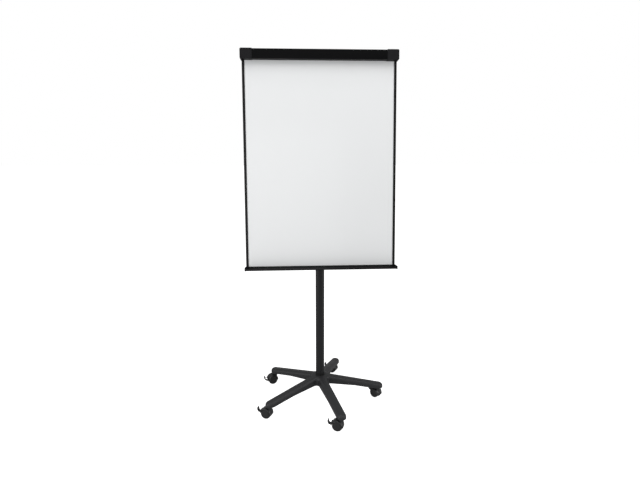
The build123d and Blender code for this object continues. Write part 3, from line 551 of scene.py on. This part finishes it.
# ---- Grip strip ----------------------------------------------------------------------------------
# A strip of black rubber is drawn into the bar's lower lip. Its fine ribs run across the grip and
# press the pad against the board.
RIBS = 5
FLUTE_DEEP = 0.0005
rubber = coat("grip_rubber", (0.022, 0.022, 0.023), 0.8, 700, 0.0002)
low, high = upright_box("grip_strip")
strip = block("grip_strip_rubber", low + Vector((0, FLUTE_DEEP, 0)), high)
pitch = (high.z - low.z) / (2 * RIBS)
for line in range(1, 2 * RIBS):
    bpy.ops.mesh.select_all(action="SELECT")
    bpy.ops.mesh.bisect(plane_co=(0, 0, low.z + pitch * line), plane_no=(0, 0, 1))
choose(strip, "faces", lambda mid, normal: normal.y > 0.9 and int((mid.z - low.z) / pitch) % 2 == 1)
bpy.ops.mesh.extrude_region_move(TRANSFORM_OT_translate={"value": (0, -FLUTE_DEEP, 0)})
hand_over(strip, rubber, "clamp_bar", "rubber_grey", "grip_strip", move=IN_PLACE)

# ---- End caps of the clamp bar -------------------------------------------------------------------
# Two hollow corner mouldings of matt black plastic close the panel's top corners and carry the
# hinge pins and their springs. Their outer ends are well rounded.
cap_plastic = coat(
    "cap_plastic", (0.0075, 0.0075, 0.0084), 0.58, 1200, 0.0003, mottle=0.1, Specular_IOR_Level=0.12
)
panel_high = upright_box("board_core")[1]
sheet_low = upright_box("writing_sheet")[0]
back_high = upright_box("backing_sheet")[1]
PANEL_SLACK = 0.0001
CAP_ROUND = 0.0062
CAP_EDGE = 0.0008
SPRING_ROOM_R = 0.0065
SPRING_ROOM_DEEP = 0.011
PIN_ROOM_R = 0.003
PIN_ROOM_DEEP = 0.024
for side, toward in (("left", -1), ("right", 1)):
    low, high = upright_box(side + "_end_cap")
    outer, inner = (low.x, high.x) if toward < 0 else (high.x, low.x)
    cap = block(side + "_cap_moulding", low, high)
    choose(cap, "edges", lambda mid, way: abs(mid.x - outer) < 0.0005)
    bpy.ops.mesh.bevel(offset=CAP_ROUND, segments=7, affect="EDGES", profile=0.5)
    choose(cap, "edges", lambda mid, way: abs(mid.x - inner) < NEAR)
    bpy.ops.mesh.bevel(offset=CAP_EDGE, segments=3, affect="EDGES")
    panel_edge = toward * (panel_high.x + PANEL_SLACK)
    pocket = block(
        "pocket",
        (min(0, panel_edge), sheet_low.y - PANEL_SLACK, 0),
        (max(0, panel_edge), back_high.y + PANEL_SLACK, panel_high.z + PANEL_SLACK),
    )
    mouth = (inner, hinge.y, hinge.z)
    spring_room = drum("spring_room", mouth, (1, 0, 0), SPRING_ROOM_R, 2 * SPRING_ROOM_DEEP, 48)
    pin_room = drum("pin_room", mouth, (1, 0, 0), PIN_ROOM_R, 2 * PIN_ROOM_DEEP, 32)
    cut(cap, pocket, spring_room, pin_room)
    hand_over(cap, cap_plastic, "board", "cap_plastic", side + "_end_cap", move=IN_PLACE)

# ---- Pen tray ------------------------------------------------------------------------------------
# A thin aluminium shelf along the board's lower edge, anodised black, with three low ribs that keep
# pens from rolling and an upturned front lip. Plastic caps with rounded corners close its ends.
TRAY_WALL = 0.0018
RIB_HALF = 0.0006
RIB_RISE = 0.0006
LIP_DROP = 0.002
TRAY_CAP_ROUND = 0.0044
low, high = upright_box("pen_tray")
floor_top = low.z + TRAY_WALL
tray = block("pen_tray_extrusion", low, (high.x, high.y, floor_top))
lip_top = high.z - LIP_DROP
cuts = [low.y + TRAY_WALL, high.y - TRAY_WALL]
for share in (0.3, 0.5, 0.7):
    rib = low.y + (high.y - low.y) * share
    cuts += [rib - RIB_HALF, rib + RIB_HALF]
for place in cuts:
    bpy.ops.mesh.select_all(action="SELECT")
    bpy.ops.mesh.bisect(plane_co=(0, place, 0), plane_no=(0, 1, 0))
for near, far, rise in (
    (low.y, low.y + TRAY_WALL, lip_top - floor_top),
    (high.y - TRAY_WALL, high.y, high.z - floor_top),
    (cuts[2], cuts[3], RIB_RISE), (cuts[4], cuts[5], RIB_RISE), (cuts[6], cuts[7], RIB_RISE),
):
    choose(tray, "faces", lambda mid, normal: (
        normal.z > 0.9 and near < mid.y < far and abs(mid.z - floor_top) < NEAR
    ))
    bpy.ops.mesh.extrude_region_move(TRANSFORM_OT_translate={"value": (0, 0, rise)})
modify(tray, "BEVEL", width=0.0003, segments=2, limit_method="ANGLE", angle_limit=radians(50))
hand_over(tray, level_anodised, "board", "profile_black", "pen_tray", move=IN_PLACE)

for side, toward in (("left", -1), ("right", 1)):
    low, high = upright_box(side + "_tray_cap")
    outer = low.x if toward < 0 else high.x
    cap = block(side + "_tray_cap_moulding", low, high)
    choose(cap, "edges", lambda mid, way: (
        abs(mid.x - outer) < NEAR and mid.y < low.y + NEAR and abs(way.z) > 0.9
    ))
    bpy.ops.mesh.bevel(offset=TRAY_CAP_ROUND, segments=8, affect="EDGES")
    modify(cap, "BEVEL", width=0.0006, segments=3, limit_method="ANGLE", angle_limit=radians(50))
    hand_over(cap, cap_plastic, "board", "cap_plastic", side + "_tray_cap", move=IN_PLACE)

# ---- Castors: stems and axles --------------------------------------------------------------------
# Five twin-wheel castors swivel on zinc-plated steel stems pressed into the arms. A steel axle
# through the middle web of each hood carries its two wheels.
CASTORS = 5
dress(zinc, "castor_stems", *[f"castor_{number}_axle" for number in range(1, CASTORS + 1)])

WHEEL_R = 0.025
TRAIL = 0.018
AXLE = Vector((TRAIL, 0, WHEEL_R))


def castor_places():
    """The number of each castor and the matrix that lays a castor trailing along +X in place."""
    for number in range(1, CASTORS + 1):
        ground = Vector(joints[f"castor_{number}_swivel"]["pos_m"])
        ground.z = 0
        axle = Vector(joints[f"castor_{number}_outer_spin"]["axis"])
        trail = Vector((-axle.y, axle.x, 0))
        turn = Matrix((
            (trail.x, -axle.x, 0, 0), (trail.y, -axle.y, 0, 0), (0, 0, 1, 0), (0, 0, 0, 1),
        ))
        yield number, Matrix.Translation(ground) @ turn


def copied(piece, name):
    """A copy of a finished piece with its own mesh."""
    twin = piece.copy()
    twin.name = name
    twin.data = piece.data.copy()
    bpy.context.scene.collection.objects.link(twin)
    return twin


# ---- Castor hoods --------------------------------------------------------------------------------
# Each hood is one satin nylon moulding: a crowned mudguard over both wheels, a web between them, a
# round neck around the stem, and two small lugs for the pedal.
HOOD_R = 0.029
HOOD_WALL = 0.0025
HOOD_HALF = 0.021
WEB_HALF = 0.005
NECK_R = 0.01
HOOD_TOP = 0.060
GUARD_FROM = radians(24)
GUARD_TO = radians(192)
RIM_R = 0.0225
NECK_FOOT = 0.036
HOOD_VOXEL = 0.0009
WHEEL_ROOM_R = 0.0228
WHEEL_ROOM_T = 0.04
WHEEL_GAP = 0.001
PEDAL_PIVOT_R = 0.03
PEDAL_PIVOT_AT = radians(20)
LUG_R = 0.0036
LUG_T = 0.003
LUG_MID = 0.0108
hood_nylon = coat("hood_nylon", (0.0125, 0.0126, 0.0136), 0.36, 1300, 0.0002)

guard = drum("guard", AXLE, (0, 1, 0), HOOD_R, 2 * HOOD_HALF, 72, caps="NOTHING")
for level in (-0.017, -0.012, 0.012, 0.017):
    bpy.ops.mesh.select_all(action="SELECT")
    bpy.ops.mesh.bisect(plane_co=(0, level, 0), plane_no=(0, 1, 0))
for reach, shrink in ((0.0205, 0.87), (0.0165, 0.955)):
    choose(guard, "edges", lambda mid, way: (
        abs(way.y) < 0.1 and reach - 0.001 < abs(mid.y) < reach + 0.001
    ))
    bpy.ops.transform.resize(value=(shrink, 1, shrink), center_override=AXLE)
bpy.ops.mesh.select_all(action="SELECT")
bpy.ops.mesh.bisect(
    plane_co=AXLE, plane_no=(-sin(GUARD_FROM), 0, cos(GUARD_FROM)), clear_inner=True
)
bpy.ops.mesh.select_all(action="SELECT")
bpy.ops.mesh.bisect(plane_co=AXLE, plane_no=(sin(GUARD_TO), 0, -cos(GUARD_TO)), clear_inner=True)
modify(guard, "SOLIDIFY", thickness=HOOD_WALL, offset=-1.0)
neck = drum("neck", (0, 0, (HOOD_TOP + NECK_FOOT) / 2), (0, 0, 1), NECK_R, HOOD_TOP - NECK_FOOT, 48)
choose(neck, "edges", lambda mid, way: mid.z > HOOD_TOP - NEAR)
bpy.ops.mesh.bevel(offset=0.0012, segments=3, affect="EDGES")
web = drum("web", AXLE, (0, 1, 0), RIM_R, 2 * WEB_HALF, 64)
brace = block("brace", (-0.009, -WEB_HALF, 0.025), (0.030, WEB_HALF, 0.049))
hood = welded("hood_pattern", guard, neck, web, brace)
modify(hood, "REMESH", mode="VOXEL", voxel_size=HOOD_VOXEL)
for hand in (-1, 1):
    middle = AXLE + Vector((0, hand * (WEB_HALF + WHEEL_GAP + WHEEL_ROOM_T / 2), 0))
    cut(hood, drum("wheel_room", middle, (0, 1, 0), WHEEL_ROOM_R, WHEEL_ROOM_T, 64))
modify(hood, "REMESH", mode="VOXEL", voxel_size=HOOD_VOXEL)
modify(hood, "SMOOTH", factor=0.5, iterations=4)
lugs = []
lug_at = AXLE + PEDAL_PIVOT_R * Vector((cos(PEDAL_PIVOT_AT), 0, sin(PEDAL_PIVOT_AT)))
for hand in (-1, 1):
    lugs.append(drum("lug", lug_at + Vector((0, hand * LUG_MID, 0)), (0, 1, 0), LUG_R, LUG_T, 32))
    choose(lugs[-1], "edges", lambda mid, way: abs(way.y) < 0.1)
    bpy.ops.mesh.bevel(offset=0.0005, segments=2, affect="EDGES")
hood = welded("hood_pattern", hood, *lugs)

# ---- Castor wheels -------------------------------------------------------------------------------
# Ten hard nylon wheels, moulded in one: a smooth tread, a domed outer side, and a hub cap in a
# round recess. They are harder and darker than the hoods.
WHEEL_IN = 0.0065
WHEEL_OUT = 0.0205
DOME = 0.0085
WHEEL_BORE_R = 0.00305
WHEEL_BORE_LONG = 0.0235
wheel_nylon = coat("wheel_nylon", (0.0085, 0.0085, 0.0092), 0.42, 1100, 0.00015)
wheel = drum(
    "castor_wheel", AXLE + Vector((0, (WHEEL_IN + WHEEL_OUT) / 2, 0)), (0, 1, 0),
    WHEEL_R, WHEEL_OUT - WHEEL_IN, 80,
)
choose(wheel, "edges", lambda mid, way: abs(way.y) < 0.1 and mid.y > WHEEL_OUT - NEAR)
bpy.ops.mesh.bevel(offset=DOME, segments=9, affect="EDGES", profile=0.5)
choose(wheel, "edges", lambda mid, way: abs(way.y) < 0.1 and mid.y < WHEEL_IN + NEAR)
bpy.ops.mesh.bevel(offset=0.001, segments=3, affect="EDGES")
choose(wheel, "faces", lambda mid, normal: normal.y > 0.9 and mid.y > WHEEL_OUT - NEAR)
for thickness, depth in ((0.0022, 0), (0.0007, -0.0011), (0.0052, 0), (0.0006, 0.001)):
    bpy.ops.mesh.inset(thickness=thickness)
    if depth:
        bpy.ops.transform.translate(value=(0, depth, 0))
cut(wheel, drum(
    "bore", AXLE + Vector((0, WHEEL_IN - 0.001, 0)), (0, 1, 0), WHEEL_BORE_R, WHEEL_BORE_LONG, 32
))

# ---- Brake pedals --------------------------------------------------------------------------------
# A pedal hangs behind each pair of wheels on two trunnions: a barrel, a curved plate that can press
# on the treads, and an upturned tongue for the foot.
PEDAL_HALF = 0.009
PEDAL_T = 0.0031
PLATE_R = 0.0308
PLATE_FROM = radians(-8)
BARREL_R = 0.0029
TRUNNION_R = 0.0015
TRUNNION_REACH = 0.0033
pedal_plastic = coat("pedal_nylon", (0.0105, 0.0105, 0.0112), 0.34, 1300, 0.0002)
TONGUE = (
    (0.0310, 0.0012), (0.0355, 0.0016), (0.0390, 0.0021), (0.0414, 0.0036), (0.0432, 0.0058),
    (0.0445, 0.0088), (0.0454, 0.0124), (0.0457, 0.0162), (0.0452, 0.0200), (0.0440, 0.0232),
)
plate_low = AXLE + PLATE_R * Vector((cos(PLATE_FROM), 0, sin(PLATE_FROM)))
set_down()
bpy.ops.mesh.primitive_plane_add(size=2 * PEDAL_HALF, location=plate_low, rotation=(0, pi / 2, 0))
pedal = opened("castor_pedal")
bpy.ops.mesh.select_all(action="SELECT")
bpy.ops.transform.resize(value=(1, 1, 0.05), center_override=plate_low)
choose(pedal, "edges", lambda mid, way: abs(way.y) > 0.9 and mid.z > plate_low.z)
at = plate_low
for out, up in TONGUE:
    there = AXLE + Vector((out, 0, up))
    bpy.ops.mesh.extrude_region_move(TRANSFORM_OT_translate={"value": there - at})
    at = there
modify(pedal, "SOLIDIFY", thickness=PEDAL_T, offset=0.0)
modify(pedal, "BEVEL", width=0.0012, segments=3, limit_method="ANGLE", angle_limit=radians(60))
barrel = drum("barrel", lug_at, (0, 1, 0), BARREL_R, 2 * PEDAL_HALF, 40)
choose(barrel, "edges", lambda mid, way: abs(way.y) < 0.1)
bpy.ops.mesh.bevel(offset=0.0004, segments=2, affect="EDGES")
trunnion = drum("trunnion", lug_at, (0, 1, 0), TRUNNION_R, 2 * (PEDAL_HALF + TRUNNION_REACH), 24)
pedal = welded("castor_pedal", pedal, barrel, trunnion)

for number, place in castor_places():
    body = f"castor_{number}"
    hand_over(copied(hood, body + "_hood_moulding"), hood_nylon, body, "castor_hood",
              body + "_hood", move=place)
    hand_over(copied(pedal, body + "_foot_pedal"), pedal_plastic, body + "_pedal", "pedal_plastic",
              body + "_pedal", move=place)
    for wheel_side, mirror in (("outer", -1), ("inner", 1)):
        hand_over(
            copied(wheel, f"{body}_{wheel_side}_wheel_moulding"), wheel_nylon,
            f"{body}_{wheel_side}_wheel", "castor_wheel", f"{body}_{wheel_side}_wheel",
            move=place @ Matrix.Diagonal((1, mirror, 1, 1)),
        )
for pattern in (hood, wheel, pedal):
    bpy.data.objects.remove(pattern)
